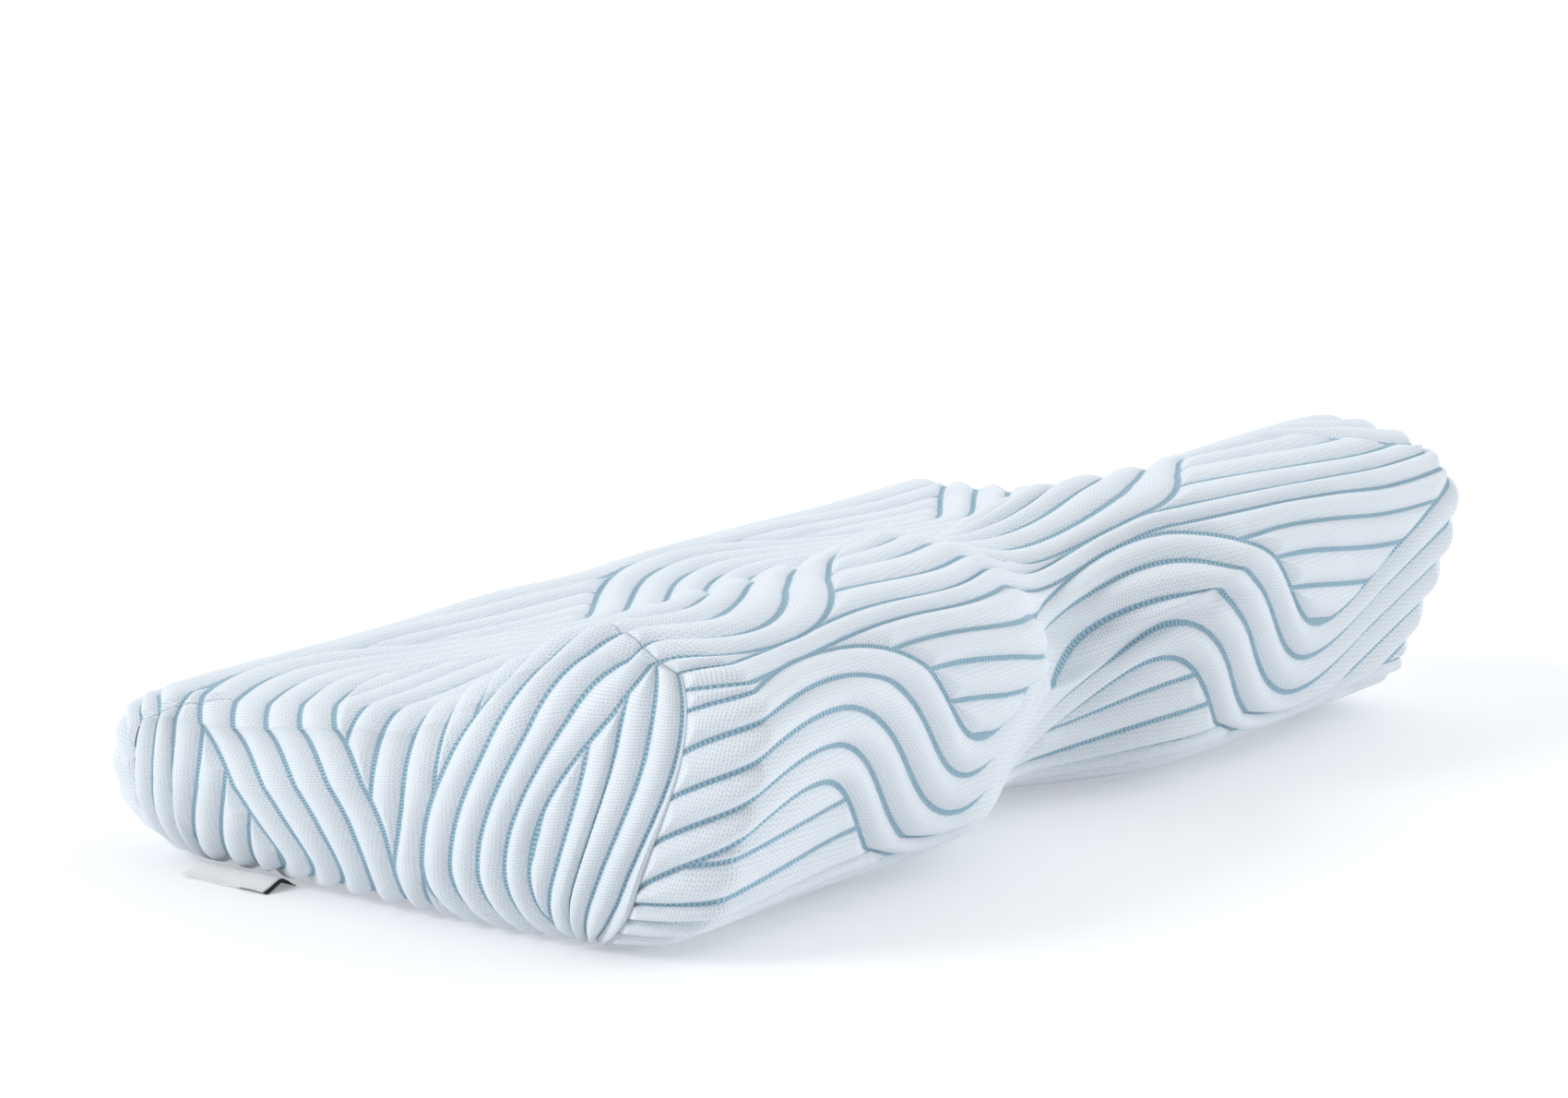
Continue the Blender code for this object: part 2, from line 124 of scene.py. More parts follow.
# What only the looks have
PANEL_STEP = 0.00105
GROOVE_FLAT = 0.0009  # half width of a groove's flat bottom
GROOVE_WIDE = 0.00128  # half width of its blue stitching
TICK = 0.0017  # pitch of the stitching
RIB = 0.00105  # pitch of the knit's ribs
COURSE = 0.0016
SEAM_DENT = 0.0032
SEAM_SOFT = 0.0042
FOLD_DENT = 0.0030
FOLD_SOFT = 0.0065
FOLD_FADE = 0.035
PUFF_POWER = 0.8
PUFF_UNEVEN = 0.16  # share by which the puffs differ in height
PUFF_HUMPS = 0.045
PUFF_HUMPS_TURN = 0.5
SLACK = 0.0009  # mean depth at which the cloth lies under the puffed skin
SLACK_HUMPS = 0.07
SLACK_HUMPS_TURN = 1.1
SKIN_NORMAL_STEP = 0.0012
PANEL_NORMAL_STEP = 0.0006

# Finish
KNIT_WHITE = (0.79, 0.832, 0.872)
KNIT_SHADE = (0.73, 0.78, 0.83)
# painted shade: darker blue-grey laid into the low gaps between the knit's ribs
KNIT_GAP_PAINTED_SHADE = (0.50, 0.59, 0.68)
GROOVE_BLUE = (0.155, 0.335, 0.44)
GROOVE_PALE = (0.40, 0.57, 0.68)
# sewn thread of the corner seams, its darkness partly painted shade of the seam's crease
SEAM_THREAD_AND_SHADE = (0.33, 0.40, 0.47)
THREAD = 0.0005  # half width of the sewn line in a seam, darkened partly as painted shade of its crease
EDGE_BLUR = 0.0003
TICK_DEPTH = 0.00022
CLOUD_SCALE = 18.0
PLAIN_CLOUD_SCALE = 25.0
KNIT_ROUGHNESS = 0.88
KNIT_SHEEN = 0.15
KNIT_SHEEN_ROUGHNESS = 0.5
PLAIN_ROUGHNESS = 0.9
LABEL_WHITE = (0.95, 0.95, 0.96)
LABEL_BLACK = (0.012, 0.013, 0.016)
TAPE_PITCH = 0.0007
TAPE_SHADE = 0.86
FLOOR_ROUGHNESS = 0.75
FLOOR_TINT = (0.97, 0.98, 1.0)
FLOOR_WHITE = (0.74, 0.745, 0.755)
FLOOR_GLOW = 0.27
FLOOR_REACH = 15.0

# Base panel: rings from the seam inwards, as shares of the seam's own ring
BASE_SHARES = (1.0, 0.985, 0.965, 0.94, 0.85, 0.7, 0.5, 0.3, 0.1)
BASE_CENTRE = (0.0, 0.02, 0.0)
BASE_DIP = 0.05  # share over which it dips from the seam to the ground
RING_POINTS_LONG = 301
RING_POINTS_SHORT = 161

# Label
LABEL_INSET = 0.004  # from the solid's inner end
LABEL_REST = 0.0008
LABEL_RISE = 0.0032
LABEL_RIDGE = 0.37  # where it is highest, as a share of its length
LABEL_WAVE = 0.0003
LABEL_WAVE_LENGTH = 0.027
LABEL_POINTS_OUT = 41
LABEL_POINTS_ACROSS = 31
TAPE_THICKNESS = 0.0003
BACKING_PROUD = 0.0015  # how far the dark backing shows past the white face's front edge
BACKING_WIDTH_UNDER = 0.012
BACKING_SHORTER = 0.0006
BACKING_BELOW = 0.0005

# Light
SUN_FROM = Vector((-0.72, 0.42, 0.50))
SUN_STRENGTH = 1.35
SUN_WIDTH = math.radians(26)
FILL_FROM = Vector((0.62, -0.68, 0.42))
FILL_STRENGTH = 0.85
FILL_WIDTH = math.radians(50)
WORLD_STRENGTH = 0.99
WORLD_TINT = (0.965, 0.98, 1.0)
DIM_FROM = Vector((-0.80, -0.56, 0.20)).normalized()  # where no lamp stands
DIM_SHARE = 0.97

# Camera, from the photograph's outline
VIEW_AZIMUTH = math.radians(-55.12)
VIEW_ELEVATION = math.radians(12.17)
VIEW_ROLL = math.radians(1.05)
VIEW_DISTANCE = 2.3305
VIEW_TARGET = Vector((-0.025, 0.0, 0.0989))
SENSOR_WIDTH = 36.0
VIEW_LENS = 134.8


def ease(t):
    t = np.clip(t, 0.0, 1.0)
    return t * t * (3.0 - 2.0 * t)


def blend(low, high, share):
    return low + (high - low) * share


# Shape of the filled body, as in the solids

def edge_rises(v):
    backward = ease((v + 1) / 2)
    top = blend(RISE_FRONT_TOP, RISE_BACK_TOP, backward)
    foot = np.minimum(blend(RISE_FRONT_FOOT, RISE_BACK_FOOT, backward), RISE_LIMIT - top)
    return top, foot


def pillow_height(x, y_share):
    wing = ease(np.abs(x) / WING_RUN)
    neck = blend(NECK_DIP, NECK_ROLL, wing)
    trough = TROUGH - TROUGH_BOWL * (1 - wing)
    behind = ease((y_share - TROUGH_AT) / (HEAD_ROLL_AT - TROUGH_AT))
    before = ease((TROUGH_AT - y_share) / (TROUGH_AT - NECK_ROLL_AT))
    return np.where(y_share > TROUGH_AT, blend(trough, HEAD_ROLL, behind), blend(trough, neck, before))


def waist_depth(x, level):
    """How far the waist draws the front wall in, for a share of the height."""
    fold_at = FOLD_LEVEL + FOLD_CLIMB * np.maximum(x, 0)
    above = ease((level - fold_at) / FOLD_BAND + 0.5)
    up = ease((level - fold_at) / (1 - fold_at))
    depth, run = (
        blend(blend(foot, lip, ease(level / WAIST_LIP_LEVEL)), blend(fold, top, up), above)
        for foot, lip, fold, top in zip(WAIST_FOOT, WAIST_LIP, WAIST_FOLD, WAIST_TOP)
    )
    return depth * np.where(np.abs(x) < run, 0.5 + 0.5 * np.cos(np.pi * x / run), 0.0) ** WAIST_SHARPNESS


def turned_corner(ex, ey):
    """Moves the seam, where both are alike, round the corner without changing the corner's shape."""
    reach = np.hypot(ex, ey)
    aside = np.arctan2(ey, ex)
    aside = aside - SEAM_TURN * np.sin(2 * aside)
    return np.where(ex > 0, reach * np.cos(aside), 0.0), np.where(ey > 0, reach * np.sin(aside), 0.0)


def body_surface(u, v, w):
    """Points of the puffed skin for cube coordinates from -1 to 1 along X, Y and Z."""
    upward = ease((w + 1) / 2)
    round_x = blend(ROUND_END_FOOT, ROUND_END_TOP, upward)
    round_front = blend(ROUND_FRONT_FOOT, ROUND_FRONT_TOP, upward)
    round_back = blend(ROUND_BACK_FOOT, ROUND_BACK_TOP, upward)
    round_y = np.where(v < 0, round_front, round_back)
    rise_top, rise_foot = edge_rises(v)
    rise = np.where(w > 0, rise_top, rise_foot)
    ex = np.maximum(0, (np.abs(u) * HALF_LENGTH - HALF_LENGTH + round_x) / round_x)
    ey = np.maximum(0, (np.abs(v) * HALF_DEPTH - HALF_DEPTH + round_y) / round_y)
    ez = np.maximum(0, (np.abs(w) * 0.5 - 0.5 + rise) / rise)
    long_way = np.sqrt(ex ** 2 + ey ** 2 + ez ** 2)
    square = np.maximum(np.maximum(ex, ey), ez)
    shrink = np.where(long_way > 1e-9, square / np.maximum(long_way, 1e-9), 1.0)
    level_way = np.maximum(np.hypot(ex, ey), 1e-9)
    turn = ez * FOOT_TURN
    foot = w < 0
    ex, ey = (np.where(foot, e / level_way * np.cos(turn), e * shrink) for e in (ex, ey))
    ez = np.where(foot, np.sin(turn), ez * shrink)
    ex, ey = turned_corner(ex, ey)
    x = np.sign(u) * np.where(ex > 0, HALF_LENGTH - round_x + round_x * ex, np.abs(u) * HALF_LENGTH)
    y = np.sign(v) * np.where(ey > 0, HALF_DEPTH - round_y + round_y * ey, np.abs(v) * HALF_DEPTH)
    level = np.where(ez > 0, np.sign(w) * (0.5 - rise + rise * ez), w * 0.5) + 0.5
    y_share = y / HALF_DEPTH
    height = pillow_height(x, y_share)
    y = y - WALL_LEAN * (ease(level / WALL_LEAN_TO) - 1) * ease(-y_share)
    y = y + waist_depth(x, level) * ease((WAIST_FADE_AT - y_share) / (1 + WAIST_FADE_AT))
    x = x + np.sign(u) * END_BULGE * (1 - y_share ** 2) * np.abs(u) ** 3
    return np.stack([x, y, level * height], axis=-1)


# The cloth laid flat, as in the solids

TOP_P = HALF_LENGTH - ROUND_END_TOP * (1 - EDGE_SHRINK)
TOP_FRONT_Q = -(HALF_DEPTH - ROUND_FRONT_TOP * (1 - EDGE_SHRINK))
TOP_BACK_Q = HALF_DEPTH - ROUND_BACK_TOP * (1 - EDGE_SHRINK)
CLOTH_P = TOP_P + END_DROP
CLOTH_FRONT_Q = TOP_FRONT_Q - FRONT_DROP
CLOTH_BACK_Q = TOP_BACK_Q + BACK_DROP


def wall_level(share, v, on_end):
    """Cube coordinate w for a share of the way down a wall's cloth."""
    backward = ease((v + 1) / 2)
    first, second = (
        np.where(on_end, blend(e, b, backward), np.where(v < 0, f, b))
        for f, e, b in zip(FRONT_STOPS, END_STOPS, BACK_STOPS)
    )
    rise_top, rise_foot = edge_rises(v)
    w_top, w_foot = 1 - 2 * rise_top, -(1 - 2 * rise_foot)
    over_top = 1 - (1 - w_top) * share / first
    straight = w_top + (w_foot - w_top) * (share - first) / (second - first)
    under = w_foot - (1 + w_foot) * (share - second) / (1 - second)
    return np.where(share < first, over_top, np.where(share < second, straight, under))


def eased_corner(distance, even_to, stop, flat, edge, reach):
    """Cube coordinate for a distance from the cloth's middle.

    On a wall the cloth is shifted a little along it, from even_to on, so that it is less stretched where it
    turns the corner."""
    distance = np.minimum(distance, edge)
    along = even_to + (distance - even_to) * (flat - even_to) / (stop - even_to)
    round_corner = flat + (distance - stop) * (reach - flat) / (edge - stop)
    return np.where(distance < even_to, distance, np.where(distance < stop, along, round_corner)) / reach


def skin_point(p, q):
    """Place in space of a point of the flat cloth, before it is quilted."""
    down_end = np.maximum(0, np.abs(p) - TOP_P) / END_DROP
    down_front = np.maximum(0, TOP_FRONT_Q - q) / FRONT_DROP
    down_back = np.maximum(0, q - TOP_BACK_Q) / BACK_DROP
    down_side = np.maximum(down_front, down_back)
    end_flat = HALF_LENGTH - ROUND_END_TOP
    end_stop = blend(end_flat, SIDE_STOP_P, ease(down_side / STOP_BLEND))
    u = np.sign(p) * eased_corner(np.abs(p), EVEN_P, end_stop, end_flat, TOP_P, HALF_LENGTH)
    front_flat, back_flat = HALF_DEPTH - ROUND_FRONT_TOP, HALF_DEPTH - ROUND_BACK_TOP
    front_stop = blend(front_flat, END_STOP_FRONT_Q, ease(down_end / STOP_BLEND))
    back_stop = blend(back_flat, END_STOP_BACK_Q, ease(down_end / STOP_BLEND))
    front_v = -eased_corner(-q, EVEN_Q, front_stop, front_flat, -TOP_FRONT_Q, HALF_DEPTH)
    back_v = eased_corner(q, EVEN_Q, back_stop, back_flat, TOP_BACK_Q, HALF_DEPTH)
    v = np.where(q < 0, front_v, back_v)
    down = np.minimum(1, np.maximum(down_end, down_side))
    w = np.where(down > 0, wall_level(down, v, down_end > down_side), 1.0)
    return body_surface(u, v, w)


# Arithmetic that the quilting formula is written in: numpy for the meshes, nodes for the shader

class ArrayMaths:
    sin, cos, floor, sqrt = np.sin, np.cos, np.floor, np.sqrt
    smaller, larger, size = np.minimum, np.maximum, np.abs

    @staticmethod
    def over(a, b):
        return (a > b).astype(float)


class NodeValue:
    def __init__(self, maths, socket):
        self.maths = maths
        self.socket = socket

    def __add__(self, other):
        return self.maths.node("ADD", self, other)

    def __sub__(self, other):
        return self.maths.node("SUBTRACT", self, other)

    def __mul__(self, other):
        return self.maths.node("MULTIPLY", self, other)

    def __truediv__(self, other):
        return self.maths.node("DIVIDE", self, other)

    def __rsub__(self, other):
        return self.maths.node("SUBTRACT", other, self)

    def __rtruediv__(self, other):
        return self.maths.node("DIVIDE", other, self)

    def __neg__(self):
        return self.maths.node("MULTIPLY", self, -1.0)

    __radd__ = __add__
    __rmul__ = __mul__


class NodeMaths:
    def __init__(self, tree):
        self.tree = tree

    def node(self, operation, *values):
        made = self.tree.nodes.new("ShaderNodeMath")
        made.operation = operation
        for socket, value in zip(made.inputs, values):
            if isinstance(value, NodeValue):
                self.tree.links.new(value.socket, socket)
            else:
                socket.default_value = value
        return NodeValue(self, made.outputs[0])

    def sin(self, a):
        return self.node("SINE", a)

    def cos(self, a):
        return self.node("COSINE", a)

    def floor(self, a):
        return self.node("FLOOR", a)

    def sqrt(self, a):
        return self.node("SQRT", a)

    def size(self, a):
        return self.node("ABSOLUTE", a)

    def smaller(self, a, b):
        return self.node("MINIMUM", a, b)

    def larger(self, a, b):
        return self.node("MAXIMUM", a, b)

    def over(self, a, b):
        return self.node("GREATER_THAN", a, b)


def quilting(p, q, m):
    """Distance from a place on the cloth to the nearest groove, and the distance along that groove."""
    row = m.floor((q - FRONT_BUNDLE_AT) / BUNDLE_STEP + 0.5)
    even_phase = (p - WAVE_CREST_AT) * (2 * math.pi / WAVE)
    phase = even_phase + row * math.pi
    steepness = BUNDLE_SWING * 2 * math.pi / WAVE
    first_wave, second_wave = m.cos(phase), m.sin(phase * 2.0) * BUNDLE_SKEW
    swing = (first_wave + second_wave) * BUNDLE_SWING
    slope = (m.cos(phase * 2.0) * (2 * BUNDLE_SKEW) - m.sin(phase)) * steepness
    lean = 1.0 / m.sqrt(slope * slope + 1.0)
    beside = (q - row * BUNDLE_STEP - swing - FRONT_BUNDLE_AT) * lean
    half_band = CHANNEL * (BUNDLE_GROOVES - 1) / 2
    in_band = 1.0 - m.over(m.size(beside), half_band)
    off_bundle = beside - m.floor(beside / CHANNEL + 0.5) * CHANNEL
    above = m.over(beside, 0.0)
    widest = BUNDLE_STEP + 2 * BUNDLE_SWING - 2 * half_band
    pitch = widest / (2 * round((widest / CHANNEL - 1) / 2) + 1)
    middle = (row + above - 0.5) * BUNDLE_STEP + FRONT_BUNDLE_AT
    place = q - middle - m.sin(even_phase) * FILL_SWAY + widest / 2
    off_fill = place - m.floor(place / pitch + 0.5) * pitch
    to_edge = m.size(beside) - half_band
    to_fill = m.size(off_fill)
    edge_nearer = m.over(to_fill, to_edge)
    in_field = m.smaller(to_edge, to_fill)
    distance = in_band * m.size(off_bundle) + (1.0 - in_band) * in_field
    on_bundle = m.larger(in_band, edge_nearer)
    run = p + (p - m.sin(phase * 2.0) * (WAVE / (4 * math.pi))) * (steepness ** 2 / 4)
    across = off_bundle * in_band + (1.0 - in_band) * to_edge * (above * 2.0 - 1.0)
    along = on_bundle * (run + across * slope) + (1.0 - on_bundle) * p
    return distance, along


def corner_distance(p, q, m):
    """Distance on the cloth to the corner seams and to the darts that they end in."""
    in_p = TOP_P - m.size(p)
    in_q = m.smaller(q - TOP_FRONT_Q, TOP_BACK_Q - q)
    on_wall = m.over(0.0, m.smaller(in_p, in_q))
    reach = m.smaller(DART_LENGTH, m.larger(0.0, in_q))
    turn_rate = (math.sin(DART_END_TURN) - math.sin(DART_START_TURN)) / DART_LENGTH
    aside = in_p - reach * (reach * turn_rate + math.sin(DART_START_TURN))
    past = in_q - reach
    return on_wall * m.larger(in_p, in_q) + (1.0 - on_wall) * m.sqrt(aside * aside + past * past)


def fold_distance(p, q):
    on_fold = np.clip(p, FOLD_FROM, FOLD_TO)
    fold_q = TOP_FRONT_Q - FRONT_DROP * (FOLD_DOWN - FOLD_RISE * np.maximum(on_fold, 0))
    return np.hypot(q - fold_q, p - on_fold)


def uneven(p, q, size, turn):
    """Soft unevenness from -1 to 1 with humps of about the given size."""
    a = p * math.cos(turn) + q * math.sin(turn)
    b = q * math.cos(turn) - p * math.sin(turn)
    k = math.pi / size
    first = np.sin(k * a + 1.7 * np.sin(0.61 * k * b))
    second = np.sin(0.83 * k * b + 1.3 * np.sin(0.7 * k * a))
    return 0.5 * first + 0.5 * second


def puff_profile(distance):
    """Height of the puff as a share, from a groove (0) to the middle of a channel (1)."""
    share = np.clip((distance - GROOVE_FLAT) / (CHANNEL / 2 - GROOVE_FLAT), 0, 1)
    return np.sin(share * np.pi / 2) ** PUFF_POWER


def sunk_depth(p, q):
    """How far the cloth lies under the puffed skin."""
    distance, _ = quilting(p, q, ArrayMaths)
    fullness = 1.0 + PUFF_UNEVEN * uneven(p, q, PUFF_HUMPS, PUFF_HUMPS_TURN)
    slack = SLACK * (1 + uneven(p, q, SLACK_HUMPS, SLACK_HUMPS_TURN))
    depth = PUFF * fullness * (1 - puff_profile(distance)) + slack
    seam = corner_distance(p, q, ArrayMaths)
    foot = np.minimum(np.minimum(CLOTH_P - np.abs(p), q - CLOTH_FRONT_Q), CLOTH_BACK_Q - q)
    crease = SEAM_DENT * (1 - ease(seam / SEAM_SOFT))
    foot_crease = SEAM_DENT * (1 - ease(foot / SEAM_SOFT))
    to_fold_end = np.minimum(p - FOLD_FROM, FOLD_TO - p)
    fold_crease = FOLD_DENT * ease(to_fold_end / FOLD_FADE) * (1 - ease(fold_distance(p, q) / FOLD_SOFT))
    return np.maximum.reduce([depth, crease, foot_crease]) + fold_crease


def inside(p, q, p_range, q_range):
    return np.clip(p, *p_range), np.clip(q, *q_range)


def normals_of(place, p, q, ranges, step):
    """Outward normals of a surface that place(p, q) gives, by differences that stay on the cloth."""
    p_low, _ = inside(p - step, q, *ranges)
    p_high, _ = inside(p + step, q, *ranges)
    _, q_low = inside(p, q - step, *ranges)
    _, q_high = inside(p, q + step, *ranges)
    normal = np.cross(place(p_high, q) - place(p_low, q), place(p, q_high) - place(p, q_low))
    return normal / np.maximum(np.linalg.norm(normal, axis=-1, keepdims=True), 1e-12)


def cover_point(ranges):
    """The quilted surface as a function of cloth coordinates, within the cloth's ranges there."""
    def place(p, q):
        base = skin_point(p, q)
        normal = normals_of(skin_point, p, q, ranges, SKIN_NORMAL_STEP)
        point = base - normal * sunk_depth(p, q)[..., None]
        point[..., 2] = np.maximum(point[..., 2], 0.0)
        return point
    return place


def grid_mesh(name, points, normals, cloth):
    """A mesh of quads from a grid of points, with a UV map of its cloth coordinates, and normals if given."""
    rows, columns = points.shape[:2]
    mesh = bpy.data.meshes.new(name)
    index = np.arange(rows * columns).reshape(rows, columns)
    corners = [index[:-1, :-1], index[1:, :-1], index[1:, 1:], index[:-1, 1:]]
    quads = np.stack(corners, axis=-1).reshape(-1, 4)
    mesh.vertices.add(rows * columns)
    mesh.vertices.foreach_set("co", points.astype(np.float32).ravel())
    mesh.loops.add(quads.size)
    mesh.loops.foreach_set("vertex_index", quads.astype(np.int32).ravel())
    mesh.polygons.add(len(quads))
    mesh.polygons.foreach_set("loop_start", np.arange(0, quads.size, 4, dtype=np.int32))
    mesh.update(calc_edges=True)
    layer = mesh.uv_layers.new(name="cloth", do_init=False)
    layer.uv.foreach_set("vector", cloth.reshape(-1, 2)[quads.ravel()].astype(np.float32).ravel())
    mesh.shade_smooth()
    if normals is not None:
        mesh.normals_split_custom_set_from_vertices(normals.reshape(-1, 3).astype(np.float32))
    return mesh


def add_piece(name, mesh, material):
    piece = bpy.data.objects.new(name, mesh)
    bpy.context.collection.objects.link(piece)
    piece.data.materials.append(material)
    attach(piece, "root")
    return piece


def cover_panel(name, p_range, q_range, ranges, material):
    """One stretch of the quilted cover. Ranges are how far its cloth goes on without a cut edge."""
    step = PANEL_STEP
    p = np.linspace(*p_range, max(2, round((p_range[1] - p_range[0]) / step)) + 1)
    q = np.linspace(*q_range, max(2, round((q_range[1] - q_range[0]) / step)) + 1)
    p, q = np.meshgrid(p, q, indexing="ij")
    place = cover_point(ranges)
    normals = normals_of(place, p, q, ranges, PANEL_NORMAL_STEP)
    mesh = grid_mesh(name, place(p, q), normals, np.stack([p, q], axis=-1))
    piece = add_piece(name, mesh, material)
    return piece


# Materials

def new_material(name):
    material = bpy.data.materials.new(name)
    material.use_nodes = True
    tree = material.node_tree
    shader = tree.nodes["Principled BSDF"]
    shader.inputs["Metallic"].default_value = 0.0
    return material, tree, shader


def cloth_place(tree):
    coordinates = tree.nodes.new("ShaderNodeUVMap")
    coordinates.uv_map = "cloth"
    split = tree.nodes.new("ShaderNodeSeparateXYZ")
    tree.links.new(coordinates.outputs["UV"], split.inputs[0])
    maths = NodeMaths(tree)
    return maths, NodeValue(maths, split.outputs["X"]), NodeValue(maths, split.outputs["Y"]), coordinates


def mixed(tree, share, low, high):
    node = tree.nodes.new("ShaderNodeMix")
    node.data_type = "RGBA"
    tree.links.new(share.socket, node.inputs["Factor"])
    for socket, colour in ((node.inputs["A"], low), (node.inputs["B"], high)):
        if isinstance(colour, tuple):
            socket.default_value = (*colour, 1.0)
        else:
            tree.links.new(colour, socket)
    return node.outputs["Result"]


def clamped(value):
    maths = value.maths
    return maths.smaller(1.0, maths.larger(0.0, value))


def knit_height(maths, p, q):
    """Fine ribs that run across the pillow, with the rows of loops crossing them."""
    ribs = maths.sin(p * (2 * math.pi / RIB))
    rows = maths.sin(q * (2 * math.pi / COURSE) + maths.sin(p * (math.pi / RIB)) * 1.2)
    return ribs * 0.6 + rows * 0.4


def cloudy(tree, coordinates, scale):
    noise = tree.nodes.new("ShaderNodeTexNoise")
    noise.inputs["Scale"].default_value = scale
    noise.inputs["Detail"].default_value = 3.0
    tree.links.new(coordinates.outputs["UV"], noise.inputs["Vector"])
    return NodeValue(NodeMaths(tree), noise.outputs[0])


def put_bump(tree, shader, height, distance, strength):
    bump = tree.nodes.new("ShaderNodeBump")
    bump.inputs["Distance"].default_value = distance
    bump.inputs["Strength"].default_value = strength
    tree.links.new(height.socket, bump.inputs["Height"])
    tree.links.new(bump.outputs["Normal"], shader.inputs["Normal"])


def quilted_knit():
    material, tree, shader = new_material("quilted_knit")
    maths, p, q, coordinates = cloth_place(tree)
    distance, along = quilting(p, q, maths)
    tick = maths.sin(along * (2 * math.pi / TICK))
    edge = tick * TICK_DEPTH + GROOVE_WIDE
    groove = clamped((edge - distance) / EDGE_BLUR)
    cloud = cloudy(tree, coordinates, CLOUD_SCALE)
    knit = knit_height(maths, p, q)
    cloth = mixed(tree, clamped(cloud * 2.0 - 0.6), KNIT_WHITE, KNIT_SHADE)
    # painted shade in the low gaps between the knit's ribs, where the relief below is lowest
    cloth = mixed(tree, clamped(-knit * 1.2 - 0.15) * 0.9, cloth, KNIT_GAP_PAINTED_SHADE)
    stitching = mixed(tree, clamped(tick * 0.5 + 0.5), GROOVE_BLUE, GROOVE_PALE)
    quilted = mixed(tree, groove * 0.94, cloth, stitching)
    # the corner seams' sewn line: thread colour, darkened partly as painted shade of the seam's crease
    seam = clamped((THREAD - corner_distance(p, q, maths)) / EDGE_BLUR)
    tree.links.new(mixed(tree, seam * 0.8, quilted, SEAM_THREAD_AND_SHADE), shader.inputs["Base Color"])
    shader.inputs["Roughness"].default_value = KNIT_ROUGHNESS
    shader.inputs["Sheen Weight"].default_value = KNIT_SHEEN
    shader.inputs["Sheen Roughness"].default_value = KNIT_SHEEN_ROUGHNESS
    relief = knit * (1.0 - groove) * 0.5 + groove * tick
    put_bump(tree, shader, relief, 0.00018, 0.9)
    return material


def plain_knit():
    material, tree, shader = new_material("plain_knit")
    maths, p, q, coordinates = cloth_place(tree)
    cloud = cloudy(tree, coordinates, PLAIN_CLOUD_SCALE)
    cloth = mixed(tree, clamped(cloud * 2.0 - 0.6), KNIT_WHITE, KNIT_SHADE)
    tree.links.new(cloth, shader.inputs["Base Color"])
    shader.inputs["Roughness"].default_value = PLAIN_ROUGHNESS
    put_bump(tree, shader, knit_height(maths, p, q), 0.00015, 0.9)
    return material


def woven_tape(name, colour, roughness):
    material, tree, shader = new_material(name)
    maths, p, q, _ = cloth_place(tree)
    weave = maths.sin(p * (2 * math.pi / TAPE_PITCH)) * maths.sin(q * (2 * math.pi / TAPE_PITCH))
    shade = tuple(channel * TAPE_SHADE for channel in colour)
    tree.links.new(mixed(tree, clamped(weave * 0.5 + 0.5), colour, shade), shader.inputs["Base Color"])
    shader.inputs["Roughness"].default_value = roughness
    put_bump(tree, shader, weave, 0.0001, 0.7)
    return material


def floor_material():
    material, tree, shader = new_material("floor_white")
    shader.inputs["Base Color"].default_value = (*FLOOR_WHITE, 1.0)
    shader.inputs["Emission Color"].default_value = (*FLOOR_TINT, 1.0)
    shader.inputs["Emission Strength"].default_value = FLOOR_GLOW
    shader.inputs["Roughness"].default_value = FLOOR_ROUGHNESS
    return material


# Pieces

def make_cover(material):
    long_way = ((-CLOTH_P, CLOTH_P), (TOP_FRONT_Q, TOP_BACK_Q))
    wide_way = ((-TOP_P, TOP_P), (CLOTH_FRONT_Q, CLOTH_BACK_Q))
    both = ((-CLOTH_P, CLOTH_P), (CLOTH_FRONT_Q, CLOTH_BACK_Q))
    top_q = (TOP_FRONT_Q, TOP_BACK_Q)
    top_p = (-TOP_P, TOP_P)
    return [
        cover_panel("cover_top_near", (-TOP_P, 0.0), top_q, both, material),
        cover_panel("cover_top_far", (0.0, TOP_P), top_q, both, material),
        cover_panel("cover_front", top_p, (CLOTH_FRONT_Q, TOP_FRONT_Q), wide_way, material),
        cover_panel("cover_back", top_p, (TOP_BACK_Q, CLOTH_BACK_Q), wide_way, material),
        cover_panel("cover_end_near", (-CLOTH_P, -TOP_P), top_q, long_way, material),
        cover_panel("cover_end_far", (TOP_P, CLOTH_P), top_q, long_way, material),
    ]


def foot_ring():
    """Points of the base seam, anticlockwise seen from above."""
    p = np.linspace(-TOP_P, TOP_P, RING_POINTS_LONG)
    q = np.linspace(TOP_FRONT_Q, TOP_BACK_Q, RING_POINTS_SHORT)
    wide_way = ((-TOP_P, TOP_P), (CLOTH_FRONT_Q, CLOTH_BACK_Q))
    long_way = ((-CLOTH_P, CLOTH_P), (TOP_FRONT_Q, TOP_BACK_Q))
    front = cover_point(wide_way)(p, np.full_like(p, CLOTH_FRONT_Q))
    right = cover_point(long_way)(np.full_like(q, CLOTH_P), q)
    back = cover_point(wide_way)(p[::-1], np.full_like(p, CLOTH_BACK_Q))
    left = cover_point(long_way)(np.full_like(q, -CLOTH_P), q[::-1])
    return np.vstack([front[:-1], right[:-1], back[:-1], left[:-1]])


def make_base(material):
    """The plain panel inside the base seam: it dips from the seam to the ground and lies flat on it."""
    ring = foot_ring()
    centre = np.array(BASE_CENTRE)
    points = []
    for share in BASE_SHARES:
        layer = centre + (ring - centre) * share
        layer[:, 2] = ring[:, 2] * (1 - ease((1 - share) / BASE_DIP))
        points.append(layer)
    points = np.stack(points + [np.tile(centre, (len(ring), 1))])
    points = np.concatenate([points, points[:, :1]], axis=1)
    normals = np.zeros_like(points)
    normals[..., 2] = -1.0
    mesh = grid_mesh("base_panel", points, normals, points[..., :2])
    piece = add_piece("base_panel", mesh, material)
    return piece


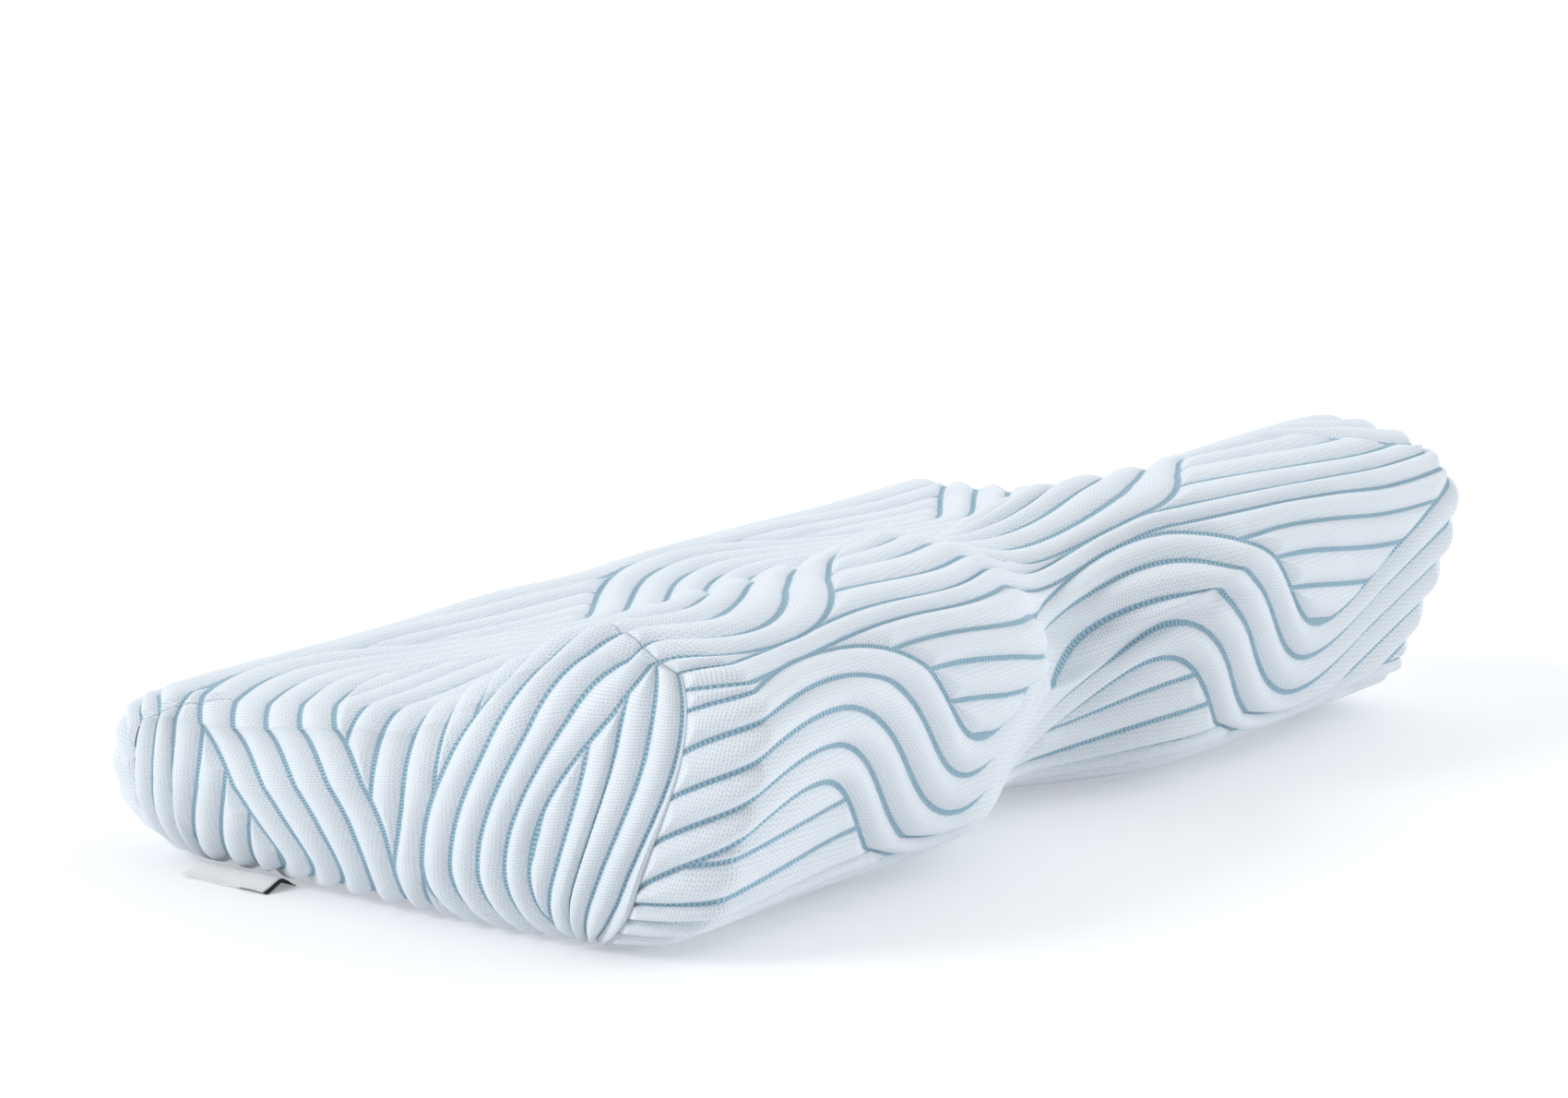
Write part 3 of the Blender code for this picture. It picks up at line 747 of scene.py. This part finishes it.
def label_sheet(name, y_range, outer_gap, under, material):
    """A tab of tape that comes out from under the near end's foot and slopes down to the floor."""
    low, high = (Vector(corner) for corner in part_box("label"))
    out = np.linspace(0.0, 1.0, LABEL_POINTS_OUT)
    x = blend(high.x - LABEL_INSET, low.x + outer_gap, out)
    up = ease(out / LABEL_RIDGE)
    down = ease((out - LABEL_RIDGE) / (1 - LABEL_RIDGE))
    z = LABEL_REST - under + LABEL_RISE * up * (1 - down)
    across = np.linspace(*y_range, LABEL_POINTS_ACROSS)
    wave = LABEL_WAVE * (1 + np.sin(2 * np.pi * (across - low.y) / LABEL_WAVE_LENGTH)) * out[:, None]
    points = np.stack(np.broadcast_arrays(x[:, None], across[None, :], z[:, None] + wave), axis=-1)
    mesh = grid_mesh(name, points[::-1], None, points[::-1, :, :2])
    piece = add_piece(name, mesh, material)
    thicken = piece.modifiers.new("thickness", "SOLIDIFY")
    thicken.thickness = TAPE_THICKNESS
    thicken.offset = 0.0
    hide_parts("label")


def make_label():
    """The white face, and the dark backing that shows along its front edge."""
    low, high = (Vector(corner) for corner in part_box("label"))
    white = woven_tape("tape_white", LABEL_WHITE, 0.6)
    black = woven_tape("tape_black", LABEL_BLACK, 0.7)
    backing = (low.y - BACKING_PROUD, low.y + BACKING_WIDTH_UNDER)
    label_sheet("label_face", (low.y, high.y), 0.0, 0.0, white)
    label_sheet("label_back", backing, BACKING_SHORTER, BACKING_BELOW, black)


def make_floor():
    mesh = bpy.data.meshes.new("floor")
    corners = [(x * FLOOR_REACH, y * FLOOR_REACH, 0) for x, y in ((-1, -1), (1, -1), (1, 1), (-1, 1))]
    mesh.from_pydata(corners, [], [(0, 1, 2, 3)])
    floor = bpy.data.objects.new("floor", mesh)
    bpy.context.collection.objects.link(floor)
    floor.data.materials.append(floor_material())


def add_sun(name, direction, strength, width):
    lamp = bpy.data.lights.new(name, "SUN")
    lamp.energy = strength
    lamp.angle = width
    sun = bpy.data.objects.new(name, lamp)
    sun.rotation_euler = direction.to_track_quat("Z", "Y").to_euler()
    bpy.context.collection.objects.link(sun)


def make_lights():
    """Two wide soft suns in bright surroundings that are dimmer towards one side, as in a white studio."""
    add_sun("sun", SUN_FROM, SUN_STRENGTH, SUN_WIDTH)
    add_sun("fill", FILL_FROM, FILL_STRENGTH, FILL_WIDTH)
    world = bpy.data.worlds.new("studio")
    bpy.context.scene.world = world
    world.use_nodes = True
    background = world.node_tree.nodes["Background"]
    background.inputs["Color"].default_value = (*WORLD_TINT, 1.0)
    direction = world.node_tree.nodes.new("ShaderNodeTexCoord")
    towards = world.node_tree.nodes.new("ShaderNodeVectorMath")
    towards.operation = "DOT_PRODUCT"
    towards.inputs[1].default_value = DIM_FROM
    world.node_tree.links.new(direction.outputs["Generated"], towards.inputs[0])
    maths = NodeMaths(world.node_tree)
    dim = maths.larger(NodeValue(maths, towards.outputs["Value"]), 0.0)
    strength = (1.0 - dim * dim * DIM_SHARE) * WORLD_STRENGTH
    world.node_tree.links.new(strength.socket, background.inputs["Strength"])
    bpy.context.scene.view_settings.view_transform = "Standard"


def make_camera():
    back = Vector((
        math.sin(VIEW_AZIMUTH) * math.cos(VIEW_ELEVATION),
        -math.cos(VIEW_AZIMUTH) * math.cos(VIEW_ELEVATION),
        math.sin(VIEW_ELEVATION),
    ))
    right = Vector((math.cos(VIEW_AZIMUTH), math.sin(VIEW_AZIMUTH), 0.0))
    up = back.cross(right)
    rolled_right = right * math.cos(VIEW_ROLL) + up * math.sin(VIEW_ROLL)
    rolled_up = up * math.cos(VIEW_ROLL) - right * math.sin(VIEW_ROLL)
    turn = Matrix((rolled_right, rolled_up, back)).transposed().to_4x4()
    data = bpy.data.cameras.new("camera")
    data.sensor_width = SENSOR_WIDTH
    data.lens = VIEW_LENS
    camera = bpy.data.objects.new("camera", data)
    camera.matrix_world = Matrix.Translation(VIEW_TARGET + back * VIEW_DISTANCE) @ turn
    bpy.context.collection.objects.link(camera)
    bpy.context.scene.camera = camera


def main():
    make_camera()
    make_lights()
    make_floor()
    cover = make_cover(quilted_knit())
    cover.append(make_base(plain_knit()))
    for piece in cover:
        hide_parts("pillow_body")
    make_label()
    bpy.context.view_layer.update()


main()
